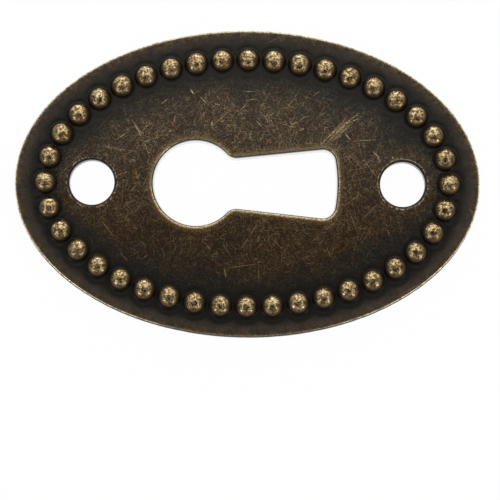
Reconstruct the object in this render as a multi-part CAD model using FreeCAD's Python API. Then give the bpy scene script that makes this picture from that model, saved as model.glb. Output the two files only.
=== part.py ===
import FreeCAD, Part
import math
import os

# Keyhole escutcheon: an oval cast plate with a row of beads round its edge, a keyhole that
# lies along its length and a screw hole at each end. Millimetres, +Z out of the front.
# The origin is the centre of the flat back. +X points to the slot end of the keyhole.

# Driving dimensions
SCREW_SPACING = 22.0
SCREW_HOLE_DIAMETER = 3.2
SCREW_TO_BEAD_ROW = 3.42
BEAD_ROW_INSET = 2.08
PLATE_WIDTH = 21.8
CENTRE_THICKNESS = 1.3
CROWN_DROP = 0.3
RIM_BEVEL = 0.2
RIM_BEVEL_EASE = 0.07
HOLE_BEVEL = 0.1

# Keyhole, measured at the front face; its walls lean in towards the back
BARREL_DIAMETER = 6.15
BARREL_OFFSET = 3.65
KEYHOLE_LENGTH = 13.15
SLOT_END_WIDTH = 5.2
SLOT_TAPER_DEGREES = 6.1
SLOT_CORNER_RADIUS = 0.95
NECK_RADIUS = 0.9
DRAFT_DEGREES = 6.0

# Beads, each a dome of flat facets fine enough to look round. Its widest ring is sunk into
# the plate, and its height is measured from the plate's front face.
BEAD_DIAMETER = 1.64
BEAD_HEIGHT = 0.76
BEAD_GAP = 0.21
BEAD_SINK = 0.1
BEAD_SIDES = 16
DOME_STEPS = 3

# How far cutting tools run past the faces that they cut, and how close to the front face an
# edge lies to count as one of its edges
OVERRUN = 0.5
ON_SURFACE = 0.005

# Sizes worked out from the driving dimensions
HALF_LENGTH = SCREW_SPACING / 2 + SCREW_TO_BEAD_ROW + BEAD_ROW_INSET
HALF_WIDTH = PLATE_WIDTH / 2
CROWN_RADIUS = (HALF_LENGTH**2 + CROWN_DROP**2) / (2 * CROWN_DROP)
BEAD_RADIUS = BEAD_DIAMETER / 2
BEAD_PITCH = BEAD_DIAMETER + BEAD_GAP


def point(x, y, z=0.0):
    return FreeCAD.Vector(x, y, z)


def line_or_arc(*points):
    return Part.LineSegment(*points) if len(points) == 2 else Part.Arc(*points)


def front_height(x, y):
    """Height of the crowned front face above the back."""
    return CENTRE_THICKNESS - CROWN_RADIUS + math.sqrt(CROWN_RADIUS**2 - x**2 - y**2)


def edges_at_front(solid, inside):
    """Edges of the front face whose middles satisfy the test inside(x, y)."""
    found = []
    for edge in solid.Edges:
        middle = edge.valueAt((edge.FirstParameter + edge.LastParameter) / 2)
        lies_on_front = abs(middle.z - front_height(middle.x, middle.y)) < ON_SURFACE
        if lies_on_front and inside(middle.x, middle.y):
            found.append(edge)
    return found


def crowned_plate():
    """Oval plate with a flat back and a gently crowned front, its front rim bevelled and eased."""
    outline = Part.Ellipse(point(0, 0), HALF_LENGTH, HALF_WIDTH).toShape()
    slab = Part.Face(Part.Wire(outline)).extrude(point(0, 0, CENTRE_THICKNESS + OVERRUN))
    crown_centre = point(0, 0, CENTRE_THICKNESS - CROWN_RADIUS)
    # The ball's axis points along -Y, so that its seam lies on the far side from the plate
    ball = Part.makeSphere(CROWN_RADIUS, crown_centre, point(0, -1, 0))
    plate = slab.common(ball)
    plate = plate.makeChamfer(RIM_BEVEL, edges_at_front(plate, lambda x, y: True))
    rings = [edge for edge in plate.Edges if edge.BoundBox.ZMin > ON_SURFACE]
    return plate.makeChamfer(RIM_BEVEL_EASE, rings)


class KeyholeShape:
    """Centres and directions of the keyhole's arcs, which every section of it shares.

    The barrel and the slot's end are arcs about the barrel's centre. Each side of the slot
    is a line that leans outwards, joined to the barrel by a neck arc and to the end by a
    corner arc.
    """

    def __init__(self):
        taper = math.radians(SLOT_TAPER_DEGREES)
        self.centre = point(-BARREL_OFFSET, 0)
        self.barrel_radius = BARREL_DIAMETER / 2
        self.end_radius = KEYHOLE_LENGTH - self.barrel_radius
        self.along = point(math.cos(taper), math.sin(taper))
        self.outward = point(-math.sin(taper), math.cos(taper))
        side_point = point(self.end_radius, SLOT_END_WIDTH / 2)
        self.side_distance = side_point.dot(self.outward)
        self.neck = self.arc_centre(
            self.barrel_radius + NECK_RADIUS, self.side_distance + NECK_RADIUS
        )
        self.corner = self.arc_centre(
            self.end_radius - SLOT_CORNER_RADIUS, self.side_distance - SLOT_CORNER_RADIUS
        )

    def arc_centre(self, from_barrel, from_axis):
        """Point at these distances from the barrel's centre and from the line along the side."""
        forward = math.sqrt(from_barrel**2 - from_axis**2)
        return self.centre + self.along * forward + self.outward * from_axis

    def section(self, height):
        """Closed outline at a height, grown by the draft above the front and shrunk below."""
        growth = (height - CENTRE_THICKNESS) * math.tan(math.radians(DRAFT_DEGREES))
        barrel_radius = self.barrel_radius + growth
        end_radius = self.end_radius + growth
        neck_radius = NECK_RADIUS - growth
        corner_radius = SLOT_CORNER_RADIUS + growth
        to_neck = (self.neck - self.centre).normalize()
        to_corner = (self.corner - self.centre).normalize()

        barrel_tangent = self.neck - to_neck * neck_radius
        neck_middle = self.neck - (to_neck + self.outward).normalize() * neck_radius
        neck_tangent = self.neck - self.outward * neck_radius
        side_tangent = self.corner + self.outward * corner_radius
        corner_middle = self.corner + (to_corner + self.outward).normalize() * corner_radius
        end_tangent = self.corner + to_corner * corner_radius
        barrel_middle = self.centre - point(barrel_radius, 0)
        end_middle = self.centre + point(end_radius, 0)

        def at(p, side=1):
            return point(p.x, side * p.y, height)

        # Two points make a line and three an arc, anticlockwise from the slot's end
        outline = [
            (at(end_tangent, -1), at(end_middle), at(end_tangent)),
            (at(end_tangent), at(corner_middle), at(side_tangent)),
            (at(side_tangent), at(neck_tangent)),
            (at(neck_tangent), at(neck_middle), at(barrel_tangent)),
            (at(barrel_tangent), at(barrel_middle), at(barrel_tangent, -1)),
            (at(barrel_tangent, -1), at(neck_middle, -1), at(neck_tangent, -1)),
            (at(neck_tangent, -1), at(side_tangent, -1)),
            (at(side_tangent, -1), at(corner_middle, -1), at(end_tangent, -1)),
        ]
        edges = [line_or_arc(*points).toShape() for points in outline]
        return Part.Wire(edges)


def keyhole_core():
    """Tapered body of the keyhole, from below the back to above the front."""
    shape = KeyholeShape()
    sections = [shape.section(-OVERRUN), shape.section(CENTRE_THICKNESS + OVERRUN)]
    return Part.makeLoft(sections, True, True)


def screw_hole(side):
    length = CENTRE_THICKNESS + 2 * OVERRUN
    foot = point(side * SCREW_SPACING / 2, 0, -OVERRUN)
    return Part.makeCylinder(SCREW_HOLE_DIAMETER / 2, length, foot)


def pierced_plate():
    """The plate with its keyhole and screw holes, their front edges bevelled."""
    plate = crowned_plate().cut([keyhole_core(), screw_hole(-1), screw_hole(1)])
    bead_row_x, bead_row_y = HALF_LENGTH - BEAD_ROW_INSET, HALF_WIDTH - BEAD_ROW_INSET

    def within_bead_row(x, y):
        return (x / bead_row_x) ** 2 + (y / bead_row_y) ** 2 < 1

    return plate.makeChamfer(HOLE_BEVEL, edges_at_front(plate, within_bead_row))


def bead_places():
    """Points at equal steps along the bead row, with one at each end of both axes."""
    row = Part.Ellipse(point(0, 0), HALF_LENGTH - BEAD_ROW_INSET, HALF_WIDTH - BEAD_ROW_INSET)
    path = row.toShape()
    per_quarter = round(path.Length / BEAD_PITCH / 4)
    steps = path.discretize(Number=4 * per_quarter + 1)[:-1]
    return [point(p.x, p.y, front_height(p.x, p.y)) for p in steps]


def ring(radius, height):
    """Corners of a regular polygon about the vertical axis."""
    angles = [2 * math.pi * side / BEAD_SIDES for side in range(BEAD_SIDES)]
    return [point(radius * math.cos(a), radius * math.sin(a), height) for a in angles]


def bead(place):
    """A finely faceted dome whose foot is sunk into the plate."""
    climb = [step * math.pi / 2 / DOME_STEPS for step in range(DOME_STEPS)]
    rise = BEAD_HEIGHT + BEAD_SINK
    rings = [ring(BEAD_RADIUS * math.cos(t), rise * math.sin(t)) for t in climb]
    outlines = [rings[0]]
    for side in range(BEAD_SIDES):
        after = (side + 1) % BEAD_SIDES
        for lower, upper in zip(rings, rings[1:]):
            outlines.append([lower[side], lower[after], upper[after], upper[side]])
        outlines.append([rings[-1][side], rings[-1][after], point(0, 0, rise)])
    facets = [Part.Face(Part.makePolygon(outline + outline[:1])) for outline in outlines]
    dome = Part.Solid(Part.Shell(facets))
    dome.translate(place - point(0, 0, BEAD_SINK))
    return dome


def escutcheon():
    return pierced_plate().fuse([bead(place) for place in bead_places()])


os.makedirs("parts", exist_ok=True)
escutcheon().exportStep("parts/escutcheon.step")
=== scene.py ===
import math
import random

import bpy
import numpy as np
from mathutils import Matrix, Vector, geometry, noise


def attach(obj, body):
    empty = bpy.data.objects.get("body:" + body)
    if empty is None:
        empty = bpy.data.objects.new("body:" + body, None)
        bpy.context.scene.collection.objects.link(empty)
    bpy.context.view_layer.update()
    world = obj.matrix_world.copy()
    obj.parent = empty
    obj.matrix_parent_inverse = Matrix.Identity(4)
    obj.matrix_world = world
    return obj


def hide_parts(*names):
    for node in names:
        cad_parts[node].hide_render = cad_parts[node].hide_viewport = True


# An oval keyhole escutcheon in aged brass, lying face up on a white table. The plate is built
# again here in fine mesh: round beads in shallow hollows, worn edges and drafted openings.
# Shapes are worked out in millimetres and scaled to metres when the mesh is made.
MM = 0.001

# Sizes of the plate, the same as those of the CAD part
SCREW_SPACING = 22.0
SCREW_HOLE_RADIUS = 1.6
HALF_LENGTH = 16.5
HALF_WIDTH = 10.9
BEAD_ROW_INSET = 2.08
CENTRE_THICKNESS = 1.3
CROWN_DROP = 0.3
BARREL_RADIUS = 3.075
BARREL_OFFSET = 3.65
KEYHOLE_LENGTH = 13.15
SLOT_END_WIDTH = 5.2
SLOT_TAPER = math.radians(6.1)
SLOT_CORNER_RADIUS = 0.95
NECK_RADIUS = 0.9
DRAFT = math.radians(6.0)
BEAD_COUNT = 40
BEAD_RADIUS = 0.82
BEAD_HEIGHT = 0.76
CROWN_RADIUS = (HALF_LENGTH**2 + CROWN_DROP**2) / (2 * CROWN_DROP)

# The bead row, which lies a little further in than the CAD part's, as it does in the photo
ROW_SHIFT_AT_ENDS = 0.12
ROW_SHIFT_AT_SIDES = 0.07
ROW_HALF_LENGTH = HALF_LENGTH - BEAD_ROW_INSET - ROW_SHIFT_AT_ENDS
ROW_HALF_WIDTH = HALF_WIDTH - BEAD_ROW_INSET - ROW_SHIFT_AT_SIDES

# Forms that only this mesh has: rounded edges, and a shallow hollow round each bead, which is
# level up to one distance from the bead's centre and ends at another
RIM_ROUND = 0.17
RIM_DROP = 0.38
HOLE_ROUND = 0.12
BACK_ROUND = 0.05
HOLLOW_DEPTH = 0.035
HOLLOW_FLOOR = 0.87
HOLLOW_EDGE = 1.2

# How far the rim strays inwards from a true ellipse, and how quickly that changes along it
RIM_UNEVEN = 0.03
RIM_UNEVEN_SCALE = 1.3

# How the beads differ: the least and the greatest share of the full height and of the radius,
# the most that a bead is stretched one way, and the depth and fineness of its lumps
BEAD_HEIGHT_SHARES = (0.965, 0.995)
BEAD_RADIUS_SHARES = (0.985, 1.01)
BEAD_STRETCH = 0.03
LUMP_DEPTH = 0.03
LUMP_SCALE = 1.7
LUMP_SHIFT = 50.0
SEED = 7

# A bead's dome ends at a tilt. Below it are three rows of points that run into the hollow,
# each with its distance outside the bead's radius and its height above the hollow's floor.
BEAD_LAST_TILT = math.radians(80)
BEAD_FOOT = [(0.006, 0.07), (0.02, 0.025), (0.042, 0.004)]

# Painted light on a bead, added to its height as a share: the worn brass reaches further on the
# bead's lit upper side and less far below and at its shaded sides. From the middle to the edge
# it grows upwards and falls downwards by the first value, grows upwards by the second as well,
# and falls sideways by the third.
PAINTED_LIGHT_UPWARDS = 0.15
PAINTED_LIGHT_UPPER_EXTRA = 0.1
PAINTED_SHADE_SIDEWAYS = 0.2

# How much further the painted shadow round a bead reaches on the bead's lower side
SHADE_SHIFT = 0.26

# Spacing of mesh points on the open front and in the band close to the beads
FIELD_SPACING = 0.17
BEAD_BAND_SPACING = 0.08
BEAD_BAND = 1.22

# Room left free of those points at the rim, at the keyhole and at the openings' loops
RIM_CLEARANCE = 0.6 * FIELD_SPACING
KEYHOLE_CLEARANCE = 0.06
OPENING_CLEARANCE = 0.5 * FIELD_SPACING

# Radius of the loop where a bead's mesh meets the plate's, and the bead's sides and rows
BEAD_LOOP = 0.9
BEAD_SIDES = 36
BEAD_ROWS = 11

# Numbers of mesh points along the rim, the line of the bead row, a screw hole, and the parts
# of the keyhole's upper half
RIM_POINTS = 560
ROW_POINTS = 500
SCREW_HOLE_POINTS = 72
END_POINTS = 14
CORNER_POINTS = 16
SIDE_POINTS = 58
NECK_POINTS = 10
BARREL_POINTS = 66

# Points along a fine ellipse on which equal steps are measured
ELLIPSE_SAMPLES = 20001

# Rows of points round the worn edges, and heights of the rows down the walls
RIM_STEPS = 8
HOLE_STEPS = 4
OUTER_WALL_HEIGHTS = (0.45, 0.2, BACK_ROUND)
OPENING_WALL_HEIGHTS = (1.05, 0.9, 0.7, 0.45, 0.2, 0.0)

# What the walls carry for the material, as if far from the row and off the beads. Distances
# down the outer wall are counted from RIM_LEVEL. FAR is a distance too far to matter.
OUTER_WALL_VALUES = {"row": -2, "bead": -1}
OPENING_WALL_VALUES = {"row": 4, "bead": -1}
RIM_LEVEL = 1.2
FAR = 9.0

# The highest bead value that a point of the plate itself may carry
OFF_BEAD = -0.001


# Shapes in the plane


def crown(x, y):
    """Height of the plain front face, without beads or hollows."""
    return CENTRE_THICKNESS - CROWN_RADIUS + np.sqrt(CROWN_RADIUS**2 - x**2 - y**2)


def even_ellipse(half_x, half_y, count):
    """Points at equal steps along an ellipse, anticlockwise from +X."""
    angle = np.linspace(0, 2 * math.pi, ELLIPSE_SAMPLES)
    curve = np.column_stack([half_x * np.cos(angle), half_y * np.sin(angle)])
    travel = np.concatenate([[0], np.cumsum(np.hypot(*np.diff(curve, axis=0).T))])
    at = np.interp(np.arange(count) * travel[-1] / count, travel, angle)
    return np.column_stack([half_x * np.cos(at), half_y * np.sin(at)])


def circle(centre_x, radius, count):
    angle = 2 * math.pi * np.arange(count) / count
    return np.column_stack([centre_x + radius * np.cos(angle), radius * np.sin(angle)])


def turned(vector):
    """The vector turned left by a quarter turn."""
    return np.array([-vector[1], vector[0]])


def arc(centre, radius, start, end, count):
    angle = np.linspace(start, end, count, endpoint=False)
    return centre + radius * np.column_stack([np.cos(angle), np.sin(angle)])


def keyhole(growth):
    """Outline of the keyhole, anticlockwise, grown outwards all round by this much."""
    centre = np.array([-BARREL_OFFSET, 0.0])
    along = np.array([math.cos(SLOT_TAPER), math.sin(SLOT_TAPER)])
    outward = turned(along)
    end_radius = KEYHOLE_LENGTH - BARREL_RADIUS
    side = end_radius * outward[0] + SLOT_END_WIDTH / 2 * outward[1]

    def arc_centre(from_barrel, from_axis):
        forward = math.sqrt(from_barrel**2 - from_axis**2)
        return centre + along * forward + outward * from_axis

    neck = arc_centre(BARREL_RADIUS + NECK_RADIUS, side + NECK_RADIUS)
    corner = arc_centre(end_radius - SLOT_CORNER_RADIUS, side - SLOT_CORNER_RADIUS)
    to_neck = math.atan2(*(neck - centre)[::-1])
    to_corner = math.atan2(*(corner - centre)[::-1])
    to_side = math.atan2(outward[1], outward[0])

    side_start = corner + outward * (SLOT_CORNER_RADIUS + growth)
    side_end = neck - outward * (NECK_RADIUS - growth)
    steps = np.linspace(0, 1, SIDE_POINTS, endpoint=False)[:, None]
    upper = np.vstack(
        [
            arc(centre, end_radius + growth, 0, to_corner, END_POINTS),
            arc(corner, SLOT_CORNER_RADIUS + growth, to_corner, to_side, CORNER_POINTS),
            side_start + (side_end - side_start) * steps,
            arc(neck, NECK_RADIUS - growth, to_side - math.pi, to_neck - math.pi, NECK_POINTS),
            arc(centre, BARREL_RADIUS + growth, to_neck, math.pi, BARREL_POINTS),
        ]
    )
    last = centre - np.array([BARREL_RADIUS + growth, 0])
    lower = upper[:0:-1] * [1, -1]
    return np.vstack([upper, last, lower])


def screw_hole(side):
    """The function that gives a screw hole's outline for a growth, as keyhole does."""

    def outline(growth):
        return circle(side * SCREW_SPACING / 2, SCREW_HOLE_RADIUS + growth, SCREW_HOLE_POINTS)

    return outline


def inset_ellipse(inset, count):
    """The plate's outline moved inwards, with its points on common normals."""
    rim = even_ellipse(HALF_LENGTH, HALF_WIDTH, count)
    normal = rim / [HALF_LENGTH**2, HALF_WIDTH**2]
    normal /= np.hypot(*normal.T)[:, None]
    return rim - normal * inset


def nearest(points, others):
    """Distance from each point to the nearest of the others."""
    best = np.full(len(points), np.inf)
    for other in others:
        np.minimum(best, np.hypot(*(points - other).T), out=best)
    return best


def inside(points, loop):
    """Whether each point lies within a closed loop."""
    x, y = points.T
    within = np.zeros(len(points), bool)
    for (x0, y0), (x1, y1) in zip(loop, np.roll(loop, -1, axis=0)):
        if y0 == y1:
            continue
        crosses = (y0 > y) != (y1 > y)
        within ^= crosses & (x < x0 + (y - y0) * (x1 - x0) / (y1 - y0))
    return within


def hexagonal(spacing):
    """Points of a triangular lattice over the whole plate."""
    rise = spacing * math.sqrt(3) / 2
    last_row = math.ceil(HALF_WIDTH / rise)
    points = []
    for row in range(-last_row, last_row + 1):
        x = np.arange(-HALF_LENGTH, HALF_LENGTH, spacing) + (row % 2) * spacing / 2
        points.append(np.column_stack([x, np.full(len(x), row * rise)]))
    return np.vstack(points)


# Mesh of the plate


class Surface:
    """Points, faces and wear values of the plate, gathered patch by patch.

    keyhole, screw and rim are distances along the front from the edges of the keyhole, of
    the screw holes and of the plate. They go below zero down the walls. row is the distance
    inwards from the bead row. bead is the height on a bead from 0 at its foot to 1 at its
    top, shifted by painted light that raises it on the bead's upper side and lowers it below
    and at the sides. Below zero on the plate it is the distance from the nearest bead, taken
    from a point a little below each bead's centre, which carries the painted shadow under it.
    """

    VALUES = ("keyhole", "screw", "rim", "row", "bead")

    def __init__(self):
        self.points = []
        self.faces = []
        self.values = {name: [] for name in self.VALUES}

    def add(self, points, **values):
        """Add points with their values, and return the points' numbers."""
        first = len(self.points)
        self.points.extend(map(tuple, points))
        for name in self.VALUES:
            value = values.get(name, FAR)
            self.values[name].extend(np.broadcast_to(value, len(points)).tolist())
        return np.arange(first, len(self.points))

    def bridge(self, inner, outer):
        """Faces between two closed rows of points, seen from above anticlockwise."""
        for a, b, c, d in zip(inner, outer, np.roll(outer, -1), np.roll(inner, -1)):
            self.faces.append((int(a), int(b), int(c), int(d)))

    def fan(self, centre, row):
        for a, b in zip(row, np.roll(row, -1)):
            self.faces.append((int(centre), int(a), int(b)))


def numbered(loops):
    """The number of every point of each loop, with the loops laid end to end."""
    starts = np.cumsum([0] + [len(loop) for loop in loops])
    return [np.arange(a, b) for a, b in zip(starts, starts[1:])]


def triangles(points, loops, holes, boundary):
    """Triangles over the points that keep the loops as edges and leave the holes open."""
    edges = []
    for loop in loops:
        edges.extend(zip(loop.tolist(), np.roll(loop, -1).tolist()))
    flat = [Vector(p) for p in points]
    whole_hull = 0
    closeness = 1e-6
    made = geometry.delaunay_2d_cdt(flat, edges, [], whole_hull, closeness)
    made_faces = made[2]
    source = [origin[0] for origin in made[3]]
    faces = np.array([[source[i] for i in face] for face in made_faces])
    middles = points[faces].mean(axis=1)
    keep = inside(middles, boundary)
    for hole in holes:
        keep &= ~inside(middles, hole)
    return faces[keep]


def hollow(distance):
    """Depth of the hollow round a bead at a distance from the bead's centre."""
    t = np.clip((distance - HOLLOW_FLOOR) / (HOLLOW_EDGE - HOLLOW_FLOOR), 0, 1)
    return HOLLOW_DEPTH * (1 - t * t * (3 - 2 * t))


def front_lattice(beads, opening_loops):
    """Mesh points between the loops of the front: coarse ones, and fine ones by the beads."""
    coarse = hexagonal(FIELD_SPACING)
    fine = hexagonal(BEAD_BAND_SPACING)
    coarse = coarse[nearest(coarse, beads) > BEAD_BAND + FIELD_SPACING / 2]
    to_bead = nearest(fine, beads)
    fine = fine[(to_bead > BEAD_LOOP + BEAD_BAND_SPACING / 2) & (to_bead < BEAD_BAND)]
    coarse = coarse[inside(coarse, inset_ellipse(RIM_ROUND + RIM_CLEARANCE, RIM_POINTS))]
    for loop in (keyhole(HOLE_ROUND + KEYHOLE_CLEARANCE), *opening_loops[1:]):
        coarse = coarse[~inside(coarse, loop)]
    coarse = coarse[nearest(coarse, np.vstack(opening_loops)) > OPENING_CLEARANCE]
    return [coarse, fine]


def front_values(flat, beads, rim_loop, opening_loops):
    """The values that the front's points carry for the material."""
    row_line = even_ellipse(ROW_HALF_LENGTH, ROW_HALF_WIDTH, ROW_POINTS)
    within_row = (flat[:, 0] / ROW_HALF_LENGTH) ** 2 + (flat[:, 1] / ROW_HALF_WIDTH) ** 2 < 1
    # Distance from points moved down from the beads' centres, so that the painted shadow reaches
    # further below each bead.
    shaded = BEAD_LOOP - nearest(flat, beads - [0, SHADE_SHIFT])
    return {
        "keyhole": nearest(flat, opening_loops[0]) + HOLE_ROUND,
        "screw": nearest(flat, np.vstack(opening_loops[1:])) + HOLE_ROUND,
        "rim": nearest(flat, rim_loop) + RIM_ROUND,
        "row": nearest(flat, row_line) * np.where(within_row, 1, -1),
        "bead": np.minimum(shaded, OFF_BEAD),
    }


def build_plate():
    surface = Surface()
    beads = even_ellipse(ROW_HALF_LENGTH, ROW_HALF_WIDTH, BEAD_COUNT)

    # Each opening's name, outline and draft. The keyhole comes first.
    openings = [
        ("keyhole", keyhole, math.tan(DRAFT)),
        ("screw", screw_hole(-1), 0),
        ("screw", screw_hole(1), 0),
    ]
    rim_loop = inset_ellipse(RIM_ROUND, RIM_POINTS)
    opening_loops = [outline(HOLE_ROUND) for _, outline, _ in openings]
    sides = circle(0, BEAD_LOOP, BEAD_SIDES)
    bead_loops = [sides + bead for bead in beads]
    loops = [rim_loop] + opening_loops + bead_loops
    members = numbered(loops)

    flat = np.vstack(loops + front_lattice(beads, opening_loops))
    height = crown(*flat.T) - hollow(nearest(flat, beads))
    values = front_values(flat, beads, rim_loop, opening_loops)
    surface.add(np.column_stack([flat, height]), **values)
    faces = triangles(flat, members, opening_loops + bead_loops, rim_loop)
    surface.faces.extend(map(tuple, faces.tolist()))

    first_bead = 1 + len(openings)
    for index, (bead, loop) in enumerate(zip(beads, members[first_bead:])):
        add_bead(surface, bead, loop, index)
    back_rim = add_outer_wall(surface, members[0])
    back_loops = []
    for (name, outline, draft), loop in zip(openings, members[1:first_bead]):
        back_loops.append(add_opening_wall(surface, loop, outline, name, draft))
    add_back(surface, back_rim, back_loops)
    return surface


def add_bead(surface, centre, loop, index):
    """A rounded bead whose foot runs smoothly into its hollow. No two are quite alike."""
    chance = random.Random(SEED * 1000 + index)
    foot = float(crown(*centre)) - HOLLOW_DEPTH
    rise = (BEAD_HEIGHT + HOLLOW_DEPTH) * chance.uniform(*BEAD_HEIGHT_SHARES)
    radius = BEAD_RADIUS * chance.uniform(*BEAD_RADIUS_SHARES)
    shift_x = chance.uniform(-LUMP_SHIFT, LUMP_SHIFT)
    shift_y = chance.uniform(-LUMP_SHIFT, LUMP_SHIFT)
    lump_shift = Vector((shift_x, shift_y, 0))
    stretch = chance.uniform(-BEAD_STRETCH, BEAD_STRETCH)
    stretch_angle = chance.uniform(0, math.pi)

    def shaped(x, y, height):
        """A point of the true dome, moved by the bead's lumps and its stretch."""
        spot = Vector((x, y, height)) * LUMP_SCALE + lump_shift
        lump = LUMP_DEPTH * noise.noise(spot) * height / rise
        lump += stretch * math.cos(2 * (math.atan2(y, x) - stretch_angle)) * height / rise
        return (centre[0] + x * (1 + lump), centre[1] + y * (1 + lump), foot + height)

    def wear(x, y, height):
        """The height as a share, changed by painted light: raised on the bead's upper side,
        lowered below and at the sides.
        """
        side = PAINTED_LIGHT_UPPER_EXTRA * max(y, 0) + PAINTED_LIGHT_UPWARDS * y - PAINTED_SHADE_SIDEWAYS * abs(x)
        return height / rise + side / radius

    tilt = np.linspace(0, BEAD_LAST_TILT, BEAD_ROWS)[1:]
    profile = [(radius * math.sin(t), rise * math.cos(t)) for t in tilt]
    profile += [(radius + outside, height) for outside, height in BEAD_FOOT]
    rows = []
    for distance, height in profile:
        ring = circle(0, distance, BEAD_SIDES)
        points = [shaped(x, y, height) for x, y in ring]
        rows.append(surface.add(points, row=0, bead=[wear(x, y, height) for x, y in ring]))
    top = surface.add([(centre[0], centre[1], foot + rise)], row=0, bead=1.0)
    surface.fan(top[0], rows[0])
    for inner, outer in zip(rows, rows[1:] + [loop]):
        surface.bridge(inner, outer)


def rounding(inset, drop, steps):
    """Pairs of inset and drop along a quarter ellipse that turns a face into a wall."""
    angles = np.linspace(0, math.pi / 2, steps + 1)[1:]
    return [(inset * (1 - math.sin(a)), drop * (1 - math.cos(a))) for a in angles]


def rim_unevenness(x, y):
    """How far the rim strays inwards at a point of the outline."""
    return RIM_UNEVEN * abs(noise.noise(Vector((x, y, 3)) * RIM_UNEVEN_SCALE))


def add_outer_wall(surface, front_loop):
    """The rounded rim and the wall below it, down to the back. The rim is a little uneven."""
    count = len(front_loop)
    uneven = np.array([rim_unevenness(x, y) for x, y in inset_ellipse(0, count)])
    front = crown(*inset_ellipse(RIM_ROUND, count).T)
    row = front_loop
    for inset, drop in rounding(RIM_ROUND, RIM_DROP, RIM_STEPS):
        share = 1 - inset / RIM_ROUND
        flat = inset_ellipse(inset, count)
        flat = flat * (1 - (uneven * share / np.hypot(*flat.T))[:, None])
        points = np.column_stack([flat, front - drop])
        new = surface.add(points, rim=inset, **OUTER_WALL_VALUES)
        surface.bridge(row, new)
        row = new
    for height in OUTER_WALL_HEIGHTS:
        points = np.column_stack([flat, np.full(count, height)])
        new = surface.add(points, rim=height - RIM_LEVEL, **OUTER_WALL_VALUES)
        surface.bridge(row, new)
        row = new
    back = flat * (1 - BACK_ROUND / np.hypot(*flat.T))[:, None]
    points = np.column_stack([back, np.zeros(count)])
    new = surface.add(points, rim=-RIM_LEVEL, **OUTER_WALL_VALUES)
    surface.bridge(row, new)
    return new


def add_opening_wall(surface, front_loop, outline, name, draft):
    """The worn edge of an opening and its wall, which leans in towards the back."""
    row = front_loop
    front = crown(*outline(HOLE_ROUND).T)
    for inset, drop in rounding(HOLE_ROUND, HOLE_ROUND, HOLE_STEPS):
        edge = np.column_stack([outline(inset), front - drop])
        new = surface.add(edge, **{name: inset}, **OPENING_WALL_VALUES)
        surface.bridge(new, row)
        row = new
    for height in OPENING_WALL_HEIGHTS:
        depth = height - CENTRE_THICKNESS
        flat = outline(min(0, (depth + HOLE_ROUND) * draft))
        wall = np.column_stack([flat, np.full(len(flat), height)])
        new = surface.add(wall, **{name: depth}, **OPENING_WALL_VALUES)
        surface.bridge(new, row)
        row = new
    return row


def add_back(surface, rim, openings):
    """The flat back, between the outline's last row and those of the openings."""
    loops = [rim] + openings
    used = np.concatenate(loops)
    flat = np.array([surface.points[i][:2] for i in used])
    members = numbered(loops)
    holes = [flat[m] for m in members[1:]]
    for face in triangles(flat, members, holes, flat[members[0]]):
        a, b, c = (int(used[i]) for i in face)
        surface.faces.append((a, c, b))


def plate_object(surface):
    mesh = bpy.data.meshes.new("escutcheon_plate")
    mesh.from_pydata([tuple(c * MM for c in p) for p in surface.points], [], surface.faces)
    for name, values in surface.values.items():
        mesh.attributes.new(name, "FLOAT", "POINT").data.foreach_set("value", values)
    mesh.shade_smooth()
    mesh.update()
    plate = bpy.data.objects.new("escutcheon_plate", mesh)
    bpy.context.scene.collection.objects.link(plate)
    return plate


# Materials


def srgb(red, green, blue):
    """A colour written as it looks on screen, 0 to 255, in the form that shaders take."""

    def linear(level):
        level /= 255
        return level / 12.92 if level <= 0.04045 else ((level + 0.055) / 1.055) ** 2.4

    return (linear(red), linear(green), linear(blue), 1.0)


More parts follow.
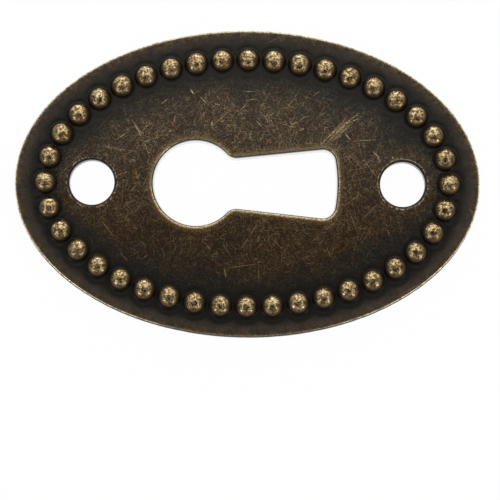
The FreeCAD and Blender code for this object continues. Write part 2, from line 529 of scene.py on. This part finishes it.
class Graph:
    """Short ways to add the nodes of one node tree and join them."""

    def __init__(self, tree):
        self.tree = tree

    def node(self, kind, **settings):
        made = self.tree.nodes.new(kind)
        for name, value in settings.items():
            setattr(made, name, value)
        return made

    def join(self, source, socket):
        """Link an output to a socket, or set the socket to a plain value."""
        if isinstance(source, bpy.types.NodeSocket):
            self.tree.links.new(source, socket)
        else:
            socket.default_value = source

    def math(self, operation, *inputs):
        made = self.node("ShaderNodeMath", operation=operation)
        for source, socket in zip(inputs, made.inputs):
            self.join(source, socket)
        return made.outputs[0]

    def times(self, first, second):
        return self.math("MULTIPLY", first, second)

    def larger(self, first, second):
        return self.math("MAXIMUM", first, second)

    def vector(self, operation, *inputs, output=0):
        made = self.node("ShaderNodeVectorMath", operation=operation)
        for source, socket in zip(inputs, made.inputs):
            self.join(source, socket)
        return made.outputs[output]

    def scale(self, vector, factor):
        made = self.node("ShaderNodeVectorMath", operation="SCALE")
        self.join(vector, made.inputs[0])
        self.join(factor, made.inputs["Scale"])
        return made.outputs[0]

    def step(self, value, low, high, start=0.0, end=1.0):
        """Smooth change from start to end while the value goes from low to high."""
        made = self.node("ShaderNodeMapRange", interpolation_type="SMOOTHSTEP")
        for source, name in ((value, "Value"), (low, "From Min"), (high, "From Max"),
                             (start, "To Min"), (end, "To Max")):
            self.join(source, made.inputs[name])
        return made.outputs[0]

    def fade(self, value, low, high):
        """Smooth change from 1 to 0 while the value goes from low to high."""
        return self.step(value, low, high, 1.0, 0.0)

    def mix(self, factor, first, second):
        """A colour that goes from the first to the second as the factor goes from 0 to 1."""
        made = self.node("ShaderNodeMix", data_type="RGBA")
        self.join(factor, made.inputs[0])
        self.join(first, made.inputs[6])
        self.join(second, made.inputs[7])
        return made.outputs[2]

    def mottle(self, speckles, colours):
        """Patches of two colours, which change over where a noise passes its middle."""
        return self.mix(self.step(speckles, 0.35, 0.65), *colours)

    def between(self, factor, first, second):
        """A number that goes from the first to the second as the factor goes from 0 to 1."""
        made = self.node("ShaderNodeMix", data_type="FLOAT")
        self.join(factor, made.inputs[0])
        self.join(first, made.inputs[2])
        self.join(second, made.inputs[3])
        return made.outputs[0]

    def noise(self, vector, scale, detail, roughness=0.5):
        made = self.node("ShaderNodeTexNoise")
        self.join(vector, made.inputs["Vector"])
        self.join(scale, made.inputs["Scale"])
        self.join(detail, made.inputs["Detail"])
        self.join(roughness, made.inputs["Roughness"])
        return made.outputs["Fac"]

    def attribute(self, name):
        return self.node("ShaderNodeAttribute", attribute_name=name).outputs["Fac"]


# The main direction of the scratches turns from patch to patch. These are the patches'
# fineness, and the turn over the whole range of the noise, in radians.
FLOW_SCALE = 0.3
FLOW_TURNS = 14.0

# What a scatter of strokes takes besides a place: cells to a millimetre, the strokes' width in
# millimetres, their greatest reach and bend in cells, a shift that makes the scatter differ
# from the others, and how far the strokes turn from the main direction, in radians
STROKE_SETTINGS = ("Cells", "Width", "Length", "Bend", "Shift", "Spread")

# The scatters of fine scratches, coarsest first
HAIR_SCATTERS = [
    (0.42, 0.030, 0.9, 0.12, 97.3, 6.3),
    (0.6, 0.030, 0.9, 0.2, 3.1, 1.2),
    (1.0, 0.030, 0.9, 0.3, 11.7, 6.3),
    (1.4, 0.029, 0.9, 0.35, 23.3, 1.5),
    (1.9, 0.027, 0.9, 0.4, 41.9, 6.3),
    (2.5, 0.024, 0.9, 0.4, 57.2, 1.8),
    (3.4, 0.021, 0.9, 0.5, 71.4, 6.3),
]


def stroke_scatter_group():
    """Node group: one short curved scratch, turned any way, in each cell of a cell pattern."""
    group = bpy.data.node_groups.new("stroke_scatter", "ShaderNodeTree")
    face = group.interface
    face.new_socket("Vector", in_out="INPUT", socket_type="NodeSocketVector")
    for name in STROKE_SETTINGS:
        face.new_socket(name, in_out="INPUT", socket_type="NodeSocketFloat")
    face.new_socket("Mask", in_out="OUTPUT", socket_type="NodeSocketFloat")
    g = Graph(group)
    given = g.node("NodeGroupInput").outputs

    # The cell that a point is in, three chances for it, and the point's place in the cell
    pattern = g.scale(given["Vector"], given["Cells"])
    pattern = g.vector("ADD", pattern, given["Shift"])
    cells = g.node("ShaderNodeTexVoronoi", voronoi_dimensions="2D")
    cells.inputs["Scale"].default_value = 1.0
    g.join(pattern, cells.inputs["Vector"])
    local = g.vector("SUBTRACT", pattern, cells.outputs["Position"])
    chance = g.node("ShaderNodeSeparateColor")
    g.join(cells.outputs["Color"], chance.inputs[0])

    # The stroke's direction: the main one at the cell's centre and a turn of its own
    turn = g.node("ShaderNodeVectorRotate", rotation_type="Z_AXIS")
    g.join(local, turn.inputs["Vector"])
    angle = g.times(chance.outputs[0], given["Spread"])
    centre = g.vector("SUBTRACT", cells.outputs["Position"], given["Shift"])
    centre = g.vector("DIVIDE", centre, given["Cells"])
    flow = g.times(g.noise(centre, FLOW_SCALE, 1.0), FLOW_TURNS)
    g.join(g.math("ADD", angle, flow), turn.inputs["Angle"])
    parts = g.node("ShaderNodeSeparateXYZ")
    g.join(turn.outputs[0], parts.inputs[0])
    along = parts.outputs[0]
    across = parts.outputs[1]

    # The stroke itself, bent, and soft at its sides and ends
    bend = g.times(g.math("SUBTRACT", chance.outputs[1], 0.5), given["Bend"])
    curve = g.times(g.times(along, along), bend)
    gap = g.math("ABSOLUTE", g.math("SUBTRACT", across, curve))
    width = g.times(given["Width"], given["Cells"])
    line = g.fade(gap, g.times(width, 0.25), width)
    reach = g.times(chance.outputs[2], given["Length"])
    ends = g.fade(g.math("ABSOLUTE", along), g.times(reach, 0.5), reach)

    # Its strength, drawn from the digits of the first chance and squared, so most are faint
    out = g.node("NodeGroupOutput")
    strength = g.math("FRACT", g.times(chance.outputs[0], 7.3))
    strength = g.between(g.times(strength, strength), 0.2, 1.0)
    g.join(g.times(g.times(line, ends), strength), out.inputs[0])
    return group


def scatter(g, group, place, settings):
    made = g.node("ShaderNodeGroup", node_tree=group)
    g.join(place, made.inputs["Vector"])
    for name, value in zip(STROKE_SETTINGS, settings):
        made.inputs[name].default_value = value
    return made.outputs[0]


# Single scratches that stand out, as (start x, start y, end x, end y, width, strength)
SCRATCHES = [
    (-4.10, 6.69, -3.81, 6.26, 0.07, 0.9),
    (-3.39, 6.12, -2.89, 5.63, 0.05, 0.8),
    (-8.27, 4.59, -7.47, 3.17, 0.05, 0.8),
    (-8.05, 4.38, -7.40, 3.10, 0.04, 0.5),
    (-7.40, 3.10, -6.89, 1.75, 0.05, 0.6),
    (-7.55, 3.60, -6.77, 4.32, 0.06, 0.4),
    (-9.45, 2.94, -8.33, 3.66, 0.06, 0.5),
    (-6.22, 5.53, -5.65, 5.96, 0.06, 0.5),
    (-8.28, -0.74, -7.79, -0.10, 0.05, 0.5),
    (-8.77, -1.53, -7.92, -1.24, 0.06, 0.4),
    (-10.31, -2.75, -9.38, -3.80, 0.05, 0.8),
    (-8.95, -5.00, -8.38, -5.57, 0.05, 0.6),
    (-7.54, -4.14, -7.12, -4.49, 0.06, 0.5),
    (-2.87, -4.39, -2.52, -4.74, 0.08, 0.7),
    (-1.59, -6.01, -1.44, -6.72, 0.10, 0.9),
    (-4.93, -4.27, -5.20, -5.19, 0.05, 0.4),
    (-7.32, -5.35, -6.97, -5.13, 0.05, 0.5),
    (-2.52, 4.42, -2.52, 3.99, 0.08, 0.8),
    (-8.93, 0.53, -8.37, 0.89, 0.05, 0.4),
    (5.20, 2.60, 7.70, 4.95, 0.80, 0.28),
    (5.07, 2.69, 6.41, 3.98, 0.055, 0.9),
    (5.36, 2.91, 6.70, 4.41, 0.050, 0.7),
    (5.57, 2.84, 7.40, 4.70, 0.060, 0.9),
    (5.85, 2.91, 7.69, 4.56, 0.045, 0.6),
    (6.06, 3.20, 7.05, 4.91, 0.045, 0.6),
    (6.63, 4.06, 7.83, 4.99, 0.050, 0.8),
    (6.91, 4.27, 7.90, 4.64, 0.050, 0.7),
    (5.85, 2.98, 6.84, 3.56, 0.05, 0.5),
    (6.84, 3.63, 7.34, 3.06, 0.06, 0.8),
    (7.34, 3.06, 9.40, 3.15, 0.04, 0.5),
    (8.90, 2.29, 9.19, 2.01, 0.09, 1.0),
    (9.19, 2.08, 9.40, 1.51, 0.06, 0.8),
    (10.18, 2.02, 10.46, 1.66, 0.06, 0.8),
    (10.46, 1.66, 10.68, 1.95, 0.05, 0.7),
    (8.07, -2.61, 8.71, -1.90, 0.05, 0.7),
    (8.71, -1.90, 9.27, -1.40, 0.05, 0.7),
    (6.56, 2.63, 7.42, 1.36, 0.04, 0.4),
    (7.43, -1.13, 7.78, -0.91, 0.08, 0.7),
    (5.46, -3.34, 6.31, -2.70, 0.06, 0.7),
    (6.09, -2.84, 7.01, -1.34, 0.05, 0.5),
    (5.61, -4.47, 5.97, -5.25, 0.05, 0.6),
    (5.97, -5.11, 6.17, -4.33, 0.05, 0.5),
    (7.29, -2.12, 7.87, -3.61, 0.04, 0.5),
    (9.92, -3.17, 10.06, -3.66, 0.06, 0.6),
    (-0.47, -4.73, 0.16, -3.80, 0.07, 0.6),
    (0.16, -3.88, 0.79, -2.67, 0.06, 0.6),
    (1.72, -3.86, 2.50, -4.64, 0.05, 0.5),
    (2.50, -4.64, 2.43, -5.56, 0.05, 0.4),
    (-1.31, -6.01, 0.81, -5.71, 0.05, 0.8),
    (0.81, -5.71, 0.89, -7.20, 0.05, 0.5),
    (3.65, 3.75, 4.00, 3.90, 0.08, 0.9),
    (3.01, 4.17, 3.65, 4.39, 0.05, 0.6),
    (3.65, 4.39, 4.07, 4.82, 0.05, 0.5),
    (0.60, 4.44, 1.03, 3.95, 0.05, 0.7),
    (-0.27, 6.50, 0.44, 6.51, 0.05, 0.5),
    (-0.19, 5.86, 0.66, 6.01, 0.06, 0.6),
    (-0.54, 5.15, -0.05, 5.65, 0.05, 0.5),
    (4.56, 6.18, 5.12, 6.61, 0.04, 0.5),
    (1.13, 9.87, 2.40, 10.52, 0.04, 0.3),
    (15.64, -1.57, 16.21, -2.63, 0.05, 0.5),
    (15.78, -1.71, 16.07, -2.06, 0.07, 0.6),
    (10.30, -8.16, 12.95, -6.62, 0.16, 0.3),
    (11.10, -7.95, 12.30, -7.28, 0.07, 0.45),
]

# A scratch is drawn as an ellipse that fades outwards. Its visible part is about as long and
# as wide as the scratch when its half axes are these shares of the length and the width.
SCRATCH_REACH = 0.65
SCRATCH_HALF_WIDTH = 0.75


def single_scratches(g, place):
    """Mask of the single scratches, each a long thin ellipse."""
    mask = 0.0
    for x0, y0, x1, y1, width, strength in SCRATCHES:
        centre = Vector(((x0 + x1) / 2, (y0 + y1) / 2, 0))
        reach = SCRATCH_REACH * math.hypot(x1 - x0, y1 - y0)
        shrink = Vector((1 / reach, 1 / (SCRATCH_HALF_WIDTH * width), 0))
        turn = g.node("ShaderNodeVectorRotate", rotation_type="Z_AXIS")
        g.join(place, turn.inputs["Vector"])
        turn.inputs["Center"].default_value = centre
        turn.inputs["Angle"].default_value = -math.atan2(y1 - y0, x1 - x0)
        local = g.vector("MULTIPLY_ADD", turn.outputs[0], tuple(shrink), tuple(-centre * shrink))
        distance = g.vector("LENGTH", local, output=1)
        scratch = g.math("MULTIPLY_ADD", distance, -strength, strength)
        mask = g.larger(scratch, mask)
    return g.step(mask, 0.05, 0.5)


# Colours of the finish. A pair is blended by noise, by height on a bead or a wall, or by how
# far up the face a point lies. Then the colour of the face's lower part comes first, and the
# greyer upper colour is a painted sheen of light.
CHARCOAL = (srgb(32, 32, 29), srgb(46, 43, 38))
DARK_BROWN_AND_SHEEN = (srgb(45, 31, 19), srgb(43, 38, 31))
LIGHT_BROWN_AND_SHEEN = (srgb(79, 60, 40), srgb(75, 65, 55))
RIM_BROWN = (srgb(38, 35, 32), srgb(82, 72, 61))
TAN_SPECKS = (srgb(112, 80, 48), srgb(128, 114, 82))
DARK_SPECKS = srgb(20, 17, 13)
# The colour of the painted shadow round the beads
BEAD_SHADE = srgb(27, 25, 21)
LOWER_HAIRS = (srgb(206, 152, 98), srgb(236, 198, 146))
UPPER_HAIRS_WITH_SHEEN = (srgb(194, 156, 112), srgb(220, 194, 154))
SINGLE_SCRATCH = srgb(222, 198, 148)
BARE_BRASS = (srgb(150, 126, 82), srgb(246, 228, 184))
KEYHOLE_HAZE = srgb(156, 122, 72)
WORN_RIM = srgb(118, 88, 58)
RIM_LINE = (srgb(190, 168, 122), srgb(250, 240, 210))
# The painted highlight on the screw holes' rounded edges
SCREW_RING_HIGHLIGHT = srgb(204, 188, 158)
# The dark lines of painted shade at the openings' edges and under the rim
EDGE_SHADE = srgb(24, 20, 16)
WALL_METAL = (srgb(172, 172, 178), srgb(244, 244, 243))
BEAD_BRASS = (srgb(158, 132, 84), srgb(234, 214, 172))
BEAD_PITS = srgb(104, 80, 46)
BEAD_FLANK = (srgb(43, 37, 29), srgb(80, 62, 41))

# How metallic and how rough the dark skin and the bare brass are, in that order
METALLIC = (0.65, 1.0)
ROUGHNESS = (0.32, 0.15)
LINE_ROUGHNESS = 0.5
SPECULAR = 0.4

# The relief of grain and pits: its strength, and its full height in millimetres
RELIEF_STRENGTH = 0.8
RELIEF_HEIGHT = 0.03

# Shifts that make a noise differ from the others
GRIT_SHIFT = (31.0, 17.0, 5.0)
PIT_SHIFT = (7.0, 43.0, 2.0)


class BrassFinish:
    """Dark bronzed skin worn through to brass on the beads, edges and scratched face, with
    painted light and shade over it.

    The methods are called in their order here. Most lay one more layer over self.skin, the
    colour so far, and keep the masks that a later one needs. Limits are in millimetres.
    """

    def __init__(self, material):
        material.use_nodes = True
        self.g = Graph(material.node_tree)
        self.shader = material.node_tree.nodes["Principled BSDF"]
        place = self.g.node("ShaderNodeTexCoord").outputs["Object"]
        self.place = self.g.scale(place, 1 / MM)
        self.keyhole = self.g.attribute("keyhole")
        self.screw = self.g.attribute("screw")
        self.opening = self.g.math("MINIMUM", self.keyhole, self.screw)
        self.rim = self.g.attribute("rim")
        self.row = self.g.attribute("row")
        self.bead = self.g.attribute("bead")

    def cover(self, mask, colour):
        """Lay a colour over the skin where the mask is."""
        self.skin = self.g.mix(mask, self.skin, colour)

    def find_wear(self):
        """How far the dark skin is worn: most round the keyhole, least close to the beads."""
        g = self.g
        self.cloud = g.noise(self.place, 0.45, 3.0, 0.55)
        patches = g.step(self.cloud, 0.35, 0.65)
        self.field = g.step(self.row, 0.4, 4.2)
        near_opening = g.fade(self.opening, 0.0, 2.0)
        near_rim = g.fade(self.rim, 0.1, 1.0)
        wear = g.times(self.field, g.between(patches, 0.45, 0.95))
        wear = g.larger(wear, g.times(near_opening, 0.7))
        self.wear = g.larger(wear, g.times(near_rim, 0.2))

    def lay_skin(self):
        """Charcoal by the beads, grey brown on the rim, brown on the field with a painted greyer
        sheen towards the top.
        """
        g = self.g
        self.tone = g.noise(self.place, 1.4, 4.0, 0.6)
        on_rim = g.fade(self.row, -1.65, -0.75)
        charcoal = g.mix(self.tone, *CHARCOAL)
        split = g.node("ShaderNodeSeparateXYZ")
        g.join(self.place, split.inputs[0])
        self.upwards = split.outputs[1]
        # Painted sheen: the browns and the scratches' tint turn greyer towards the top of the
        # face.
        self.upper_sheen = g.step(self.upwards, -4.0, 5.0)
        dark_brown_and_sheen = g.mix(self.upper_sheen, *DARK_BROWN_AND_SHEEN)
        light_brown_and_sheen = g.mix(self.upper_sheen, *LIGHT_BROWN_AND_SHEEN)
        brown = g.mix(self.tone, dark_brown_and_sheen, light_brown_and_sheen)
        rim_brown = g.mix(self.tone, *RIM_BROWN)
        self.skin = g.mix(g.step(self.wear, 0.0, 0.8), charcoal, brown)
        rim_share = g.times(on_rim, 0.85)
        rim_brown = g.scale(rim_brown, g.step(self.upwards, -9.0, 9.0, 1.6, 0.84))
        self.cover(rim_share, rim_brown)

    def lay_grain(self):
        """Specks one or two tenths of a millimetre wide, tan and dark, and painted shadow round
        the beads.
        """
        g = self.g
        self.grain = g.noise(self.place, 8.0, 3.0, 0.75)
        self.grit = g.noise(g.vector("ADD", self.place, GRIT_SHIFT), 11.0, 2.0, 0.7)
        tan = g.times(g.step(self.grain, 0.5, 0.62), g.between(self.wear, 0.08, 0.85))
        dark = g.times(g.step(self.grit, 0.5, 0.6), g.between(self.wear, 0.35, 0.85))
        self.cover(tan, g.mottle(self.tone, TAN_SPECKS))
        self.cover(dark, DARK_SPECKS)
        # Painted shadow round each bead, darkest at its foot and reaching further below it.
        self.cover(g.step(self.bead, -0.35, 0.0, 0.0, 0.8), BEAD_SHADE)

    def lay_scratches(self):
        """Several scatters of short strokes, and the single scratches. Then painted light makes
        the field darker towards the bottom and lighter towards the top.
        """
        g = self.g
        group = stroke_scatter_group()
        strokes = scatter(g, group, self.place, HAIR_SCATTERS[0])
        for settings in HAIR_SCATTERS[1:]:
            strokes = g.larger(strokes, scatter(g, group, self.place, settings))
        self.broken = g.noise(self.place, 3.0, 2.0, 0.7)
        hairs = g.times(strokes, g.step(self.broken, 0.3, 0.65))
        hairs = g.times(hairs, g.between(self.wear, 0.0, 0.95))
        marks = single_scratches(g, self.place)
        marks = g.times(marks, g.step(self.grain, 0.4, 0.58, 0.25, 1.0))
        lower_tint = g.mottle(self.tone, LOWER_HAIRS)
        # The upper tint is greyer, a painted sheen towards the top.
        upper_tint_with_sheen = g.mottle(self.tone, UPPER_HAIRS_WITH_SHEEN)
        hair_tint_with_sheen = g.mix(self.upper_sheen, lower_tint, upper_tint_with_sheen)
        hair_tint_with_sheen = g.mix(marks, hair_tint_with_sheen, SINGLE_SCRATCH)
        self.hairs = g.larger(hairs, marks)
        self.cover(self.hairs, hair_tint_with_sheen)
        # Painted light: the field is darker towards the bottom and lighter towards the top.
        painted_light_gradient = g.step(self.upwards, -8.0, 8.0, 0.78, 1.34)
        self.skin = g.scale(self.skin, g.between(self.field, 1.0, painted_light_gradient))

    def lay_bare_edges(self):
        """Bare brass along the keyhole's edge and the rim, broken up by the grain."""
        g = self.g
        bare = g.mottle(self.grit, BARE_BRASS)
        self.speckle = g.step(self.grain, 0.4, 0.58)
        haze = g.step(self.keyhole, 0.15, 0.6, 0.45, 0.0)
        self.cover(g.times(haze, g.between(self.speckle, 0.2, 1.0)), KEYHOLE_HAZE)
        edge = g.fade(self.keyhole, 0.16, 0.23)
        self.edge = g.times(edge, g.between(self.speckle, 0.55, 1.0))

        # On the rim there is a faint line all round and a bright one on all but the near edge
        outline = g.step(self.rim, 0.1, 0.26, 0.4, 0.0)
        outline = g.times(outline, g.between(self.speckle, 0.05, 1.0))
        front = g.step(self.upwards, -10.5, -9.6)
        self.lower_side = g.fade(self.upwards, -6.0, -2.0)
        outer_line = g.times(g.fade(self.rim, 0.1, 0.14), front)
        outer_line = g.times(outer_line, g.step(self.broken, 0.36, 0.5, 0.3, 1.0))
        outline = g.times(outline, g.step(self.rim, -0.02, 0.0))
        worn_rim = g.step(self.rim, 0.1, 0.75, 0.75, 0.0)
        worn_rim = g.times(worn_rim, g.step(self.broken, 0.42, 0.62))
        worn_rim = g.times(worn_rim, g.between(self.speckle, 0.35, 1.0))
        self.cover(worn_rim, WORN_RIM)
        self.cover(self.edge, bare)
        self.cover(outline, bare)
        self.cover(outer_line, g.mix(self.speckle, *RIM_LINE))
        self.outline = g.larger(outline, outer_line)

    def lay_screw_ring_highlights(self):
        """A painted highlight of each screw hole's rounded edge: a thin broken pale line a little
        outside the hole's dark edge of painted shade.
        """
        g = self.g
        # Painted highlight on the rounded edge
        ring = g.times(g.step(self.screw, 0.14, 0.18), g.fade(self.screw, 0.2, 0.27))
        ring = g.times(ring, g.times(self.speckle, g.step(self.broken, 0.42, 0.58)))
        self.cover(ring, SCREW_RING_HIGHLIGHT)

    def lay_shade_lines_and_walls(self):
        """Dark lines of painted shade at the openings' edges and under the rim's lower side, then
        walls of pale metal.
        """
        g = self.g
        # Painted shade: a dark line where the edges of the keyhole and screw holes turn down, and
        # one under the rim on the lower side.
        line = g.fade(self.keyhole, 0.03, 0.065)
        line = g.larger(line, g.fade(self.screw, 0.05, 0.11))
        under_rim_shade = g.times(g.fade(self.rim, 0.06, 0.08), self.lower_side)
        self.line = g.larger(line, under_rim_shade)
        wall = g.fade(self.keyhole, -0.5, -0.3)
        wall = g.larger(wall, g.fade(self.screw, -0.5, -0.2))
        self.pale = g.fade(self.keyhole, -0.7, -0.4)
        self.cover(self.line, EDGE_SHADE)
        self.cover(wall, g.mix(self.pale, *WALL_METAL))

    def lay_beads(self):
        """Brass tops with pits that still hold the dark skin, brown flanks, black feet."""
        g = self.g
        pit_noise = g.noise(g.vector("ADD", self.place, PIT_SHIFT), 5.6, 3.0, 0.7)
        self.pits = g.step(pit_noise, 0.44, 0.56)
        brass = g.mottle(self.grit, BEAD_BRASS)
        brass = g.mix(self.pits, brass, BEAD_PITS)
        # The bead value carries painted light, so the brass top reaches further on the upper side
        # and less far below and at the sides.
        level = g.math("ADD", self.bead, g.times(g.math("SUBTRACT", self.grain, 0.5), 0.45))
        worn = g.step(level, 0.5, 0.82)
        flank = g.mix(g.step(self.bead, 0.05, 0.6), *BEAD_FLANK)
        bead_colour = g.mix(worn, flank, brass)
        self.on_bead = g.step(self.bead, 0.0, 0.06)
        self.worn_and_lit_bead = g.times(worn, self.on_bead)
        self.cover(self.on_bead, bead_colour)
        g.join(self.skin, self.shader.inputs["Base Color"])

    def set_shine(self):
        """Brass is metal throughout. The dark skin is duller and less metallic."""
        g = self.g
        self.shader.inputs["Specular IOR Level"].default_value = SPECULAR
        brass = g.larger(self.worn_and_lit_bead, g.larger(self.edge, self.outline))
        brass = g.larger(brass, g.larger(self.hairs, self.pale))
        g.join(g.between(brass, *METALLIC), self.shader.inputs["Metallic"])
        roughness = g.between(brass, *ROUGHNESS)
        roughness = g.larger(roughness, g.times(self.line, LINE_ROUGHNESS))
        uneven = g.times(g.math("SUBTRACT", self.grit, 0.5), 0.2)
        g.join(g.math("ADD", roughness, uneven), self.shader.inputs["Roughness"])

    def set_relief(self):
        """Pits on the beads and a fine grain."""
        g = self.g
        fine = g.times(self.grain, g.between(self.on_bead, 0.25, 0.12))
        relief = g.math("ADD", fine, g.times(self.cloud, 1.5))
        pits = g.times(g.times(self.pits, self.on_bead), 0.12)
        bump = g.node("ShaderNodeBump")
        bump.inputs["Strength"].default_value = RELIEF_STRENGTH
        bump.inputs["Distance"].default_value = RELIEF_HEIGHT * MM
        g.join(g.math("SUBTRACT", relief, pits), bump.inputs["Height"])
        g.join(bump.outputs[0], self.shader.inputs["Normal"])


def antique_brass():
    material = bpy.data.materials.new("antique_brass")
    finish = BrassFinish(material)
    finish.find_wear()
    finish.lay_skin()
    finish.lay_grain()
    finish.lay_scratches()
    finish.lay_bare_edges()
    finish.lay_screw_ring_highlights()
    finish.lay_shade_lines_and_walls()
    finish.lay_beads()
    finish.set_shine()
    finish.set_relief()
    return material


# Camera, table and light

# The camera looks down at the plate from a little in front of it. Its target is the point
# of the plate's plane at the middle of the picture.
CAMERA_DISTANCE = 180.0
CAMERA_TILT = math.radians(3.5)
CAMERA_ROLL = 0.0071
CAMERA_TARGET = (0.2271, -4.734, 1.2)
CAMERA_LENS = 183.58
SENSOR = 36.0
CLIP_START = 0.01
CLIP_END = 5.0


def place_camera():
    back = Vector((0, -math.sin(CAMERA_TILT), math.cos(CAMERA_TILT)))
    right = Vector((1, 0, 0))
    up = back.cross(right)
    turned_right = right * math.cos(CAMERA_ROLL) + up * math.sin(CAMERA_ROLL)
    turned_up = up * math.cos(CAMERA_ROLL) - right * math.sin(CAMERA_ROLL)
    data = bpy.data.cameras.new("camera")
    data.lens = CAMERA_LENS
    data.sensor_width = SENSOR
    data.clip_start = CLIP_START
    data.clip_end = CLIP_END
    camera = bpy.data.objects.new("camera", data)
    place = (Vector(CAMERA_TARGET) + back * CAMERA_DISTANCE) * MM
    camera.matrix_world = Matrix.Translation(place) @ Matrix(
        (turned_right, turned_up, back)
    ).transposed().to_4x4()
    bpy.context.scene.collection.objects.link(camera)
    bpy.context.scene.camera = camera


# The table, a little below the plate's back so that the two don't share a face
FLOOR_HALF = 400.0
FLOOR_DROP = 0.02
FLOOR_GLOW = 0.97
FLOOR_WHITE = 0.9


def seen_by_camera_or_mirror(g):
    """1 for rays from the camera and for mirrored or passed-on ones, 0 for those that light."""
    path = g.node("ShaderNodeLightPath").outputs
    seen = g.larger(path["Is Camera Ray"], path["Is Glossy Ray"])
    return g.larger(seen, path["Is Transmission Ray"])


def place_floor():
    """A white table. Most of its white is its own, and the rest keeps the plate's shadow."""
    half = FLOOR_HALF * MM
    z = -FLOOR_DROP * MM
    mesh = bpy.data.meshes.new("table")
    corners = [(-half, -half, z), (half, -half, z), (half, half, z), (-half, half, z)]
    mesh.from_pydata(corners, [], [(0, 1, 2, 3)])
    material = bpy.data.materials.new("white_table")
    material.use_nodes = True
    g = Graph(material.node_tree)
    material.node_tree.nodes.clear()
    matt = g.node("ShaderNodeBsdfDiffuse")
    matt.inputs["Color"].default_value = (FLOOR_WHITE, FLOOR_WHITE, FLOOR_WHITE, 1)
    glow = g.node("ShaderNodeEmission")
    glow.inputs["Strength"].default_value = 1.0
    seen = seen_by_camera_or_mirror(g)
    blend = g.node("ShaderNodeMixShader")
    g.join(g.times(seen, FLOOR_GLOW), blend.inputs[0])
    g.join(matt.outputs[0], blend.inputs[1])
    g.join(glow.outputs[0], blend.inputs[2])
    out = g.node("ShaderNodeOutputMaterial")
    g.join(blend.outputs[0], out.inputs["Surface"])
    mesh.materials.append(material)
    table = bpy.data.objects.new("table", mesh)
    bpy.context.scene.collection.objects.link(table)


# The room: pale all round, with dim parts that the metal reflects: overhead and in front,
# where the camera stands, and low at the left and right. Each dim part has a direction, as
# azimuth from +X and height in degrees, the angles from there at which it begins and ends,
# and how much of the light is left in its middle.
ROOM_LEVEL = 0.8
ROOM_SEEN = 0.95
DIM_PARTS = [
    (270.0, 80.0, 22.0, 36.0, 0.2),
    (270.0, 40.0, 28.0, 42.0, 0.55),
    (90.0, 60.0, 22.0, 50.0, 0.8),
    (180.0, 16.0, 22.0, 36.0, 0.35),
    (0.0, 16.0, 22.0, 36.0, 0.35),
    (270.0, 0.0, 16.0, 28.0, 0.3),
]


def towards(azimuth, height):
    """The direction with this azimuth and height in degrees."""
    azimuth = math.radians(azimuth)
    height = math.radians(height)
    level = math.cos(height)
    return Vector((math.cos(azimuth) * level, math.sin(azimuth) * level, math.sin(height)))


def light_room():
    world = bpy.data.worlds.new("room")
    world.use_nodes = True
    bpy.context.scene.world = world
    g = Graph(world.node_tree)
    world.node_tree.nodes.clear()
    direction = g.node("ShaderNodeTexCoord").outputs["Generated"]
    seen = seen_by_camera_or_mirror(g)
    seen_level = ROOM_SEEN
    for azimuth, height, inner, outer, left in DIM_PARTS:
        facing = g.vector("DOT_PRODUCT", direction, tuple(towards(azimuth, height)), output=1)
        begin = math.cos(math.radians(outer))
        full = math.cos(math.radians(inner))
        seen_level = g.times(seen_level, g.step(facing, begin, full, 1.0, left))
    back = g.node("ShaderNodeBackground")
    back.inputs["Color"].default_value = (1, 1, 1, 1)
    g.join(g.between(seen, ROOM_LEVEL, seen_level), back.inputs["Strength"])
    out = g.node("ShaderNodeOutputWorld")
    g.join(back.outputs[0], out.inputs["Surface"])


# Lamps as (name, centre, point faced, width, depth, radiance). The panel hangs close over the
# far side of the plate, just out of the camera's view, so it lights that side more.
LAMPS = [
    ("over_panel", (0.0, 40.0, 60.0), (0.0, 40.0, 0.0), 110.0, 62.0, 0.5),
    ("back_softbox", (0.0, 265.0, 141.0), (0.0, 0.0, 0.0), 240.0, 200.0, 0.35),
    ("back_strip", (0.0, 297.0, 42.0), (0.0, 0.0, 0.0), 160.0, 140.0, 1.35),
    ("left_lamp", (-182.0, -164.0, 90.0), (0.0, 0.0, 0.0), 56.0, 56.0, 6.2),
    ("right_lamp", (182.0, -164.0, 90.0), (0.0, 0.0, 0.0), 56.0, 56.0, 6.2),
]


def place_lamps():
    for name, centre, faced, width, depth, radiance in LAMPS:
        data = bpy.data.lights.new(name, "AREA")
        data.shape = "RECTANGLE"
        data.size = width * MM
        data.size_y = depth * MM
        data.energy = radiance * math.pi * data.size * data.size_y
        lamp = bpy.data.objects.new(name, data)
        away = Vector(centre) - Vector(faced)
        lamp.location = Vector(centre) * MM
        lamp.rotation_mode = "QUATERNION"
        lamp.rotation_quaternion = away.to_track_quat("Z", "Y")
        bpy.context.scene.collection.objects.link(lamp)


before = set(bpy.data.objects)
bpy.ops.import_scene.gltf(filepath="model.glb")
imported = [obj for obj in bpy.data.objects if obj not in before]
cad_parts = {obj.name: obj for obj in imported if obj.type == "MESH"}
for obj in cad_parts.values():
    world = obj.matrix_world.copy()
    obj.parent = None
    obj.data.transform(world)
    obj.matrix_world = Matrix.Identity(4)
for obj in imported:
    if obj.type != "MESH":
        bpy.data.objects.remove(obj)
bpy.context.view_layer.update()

bpy.context.scene.view_settings.view_transform = "Standard"
place_camera()
light_room()
place_lamps()
place_floor()

plate = plate_object(build_plate())
plate.data.materials.append(antique_brass())
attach(plate, "root")
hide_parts("escutcheon")
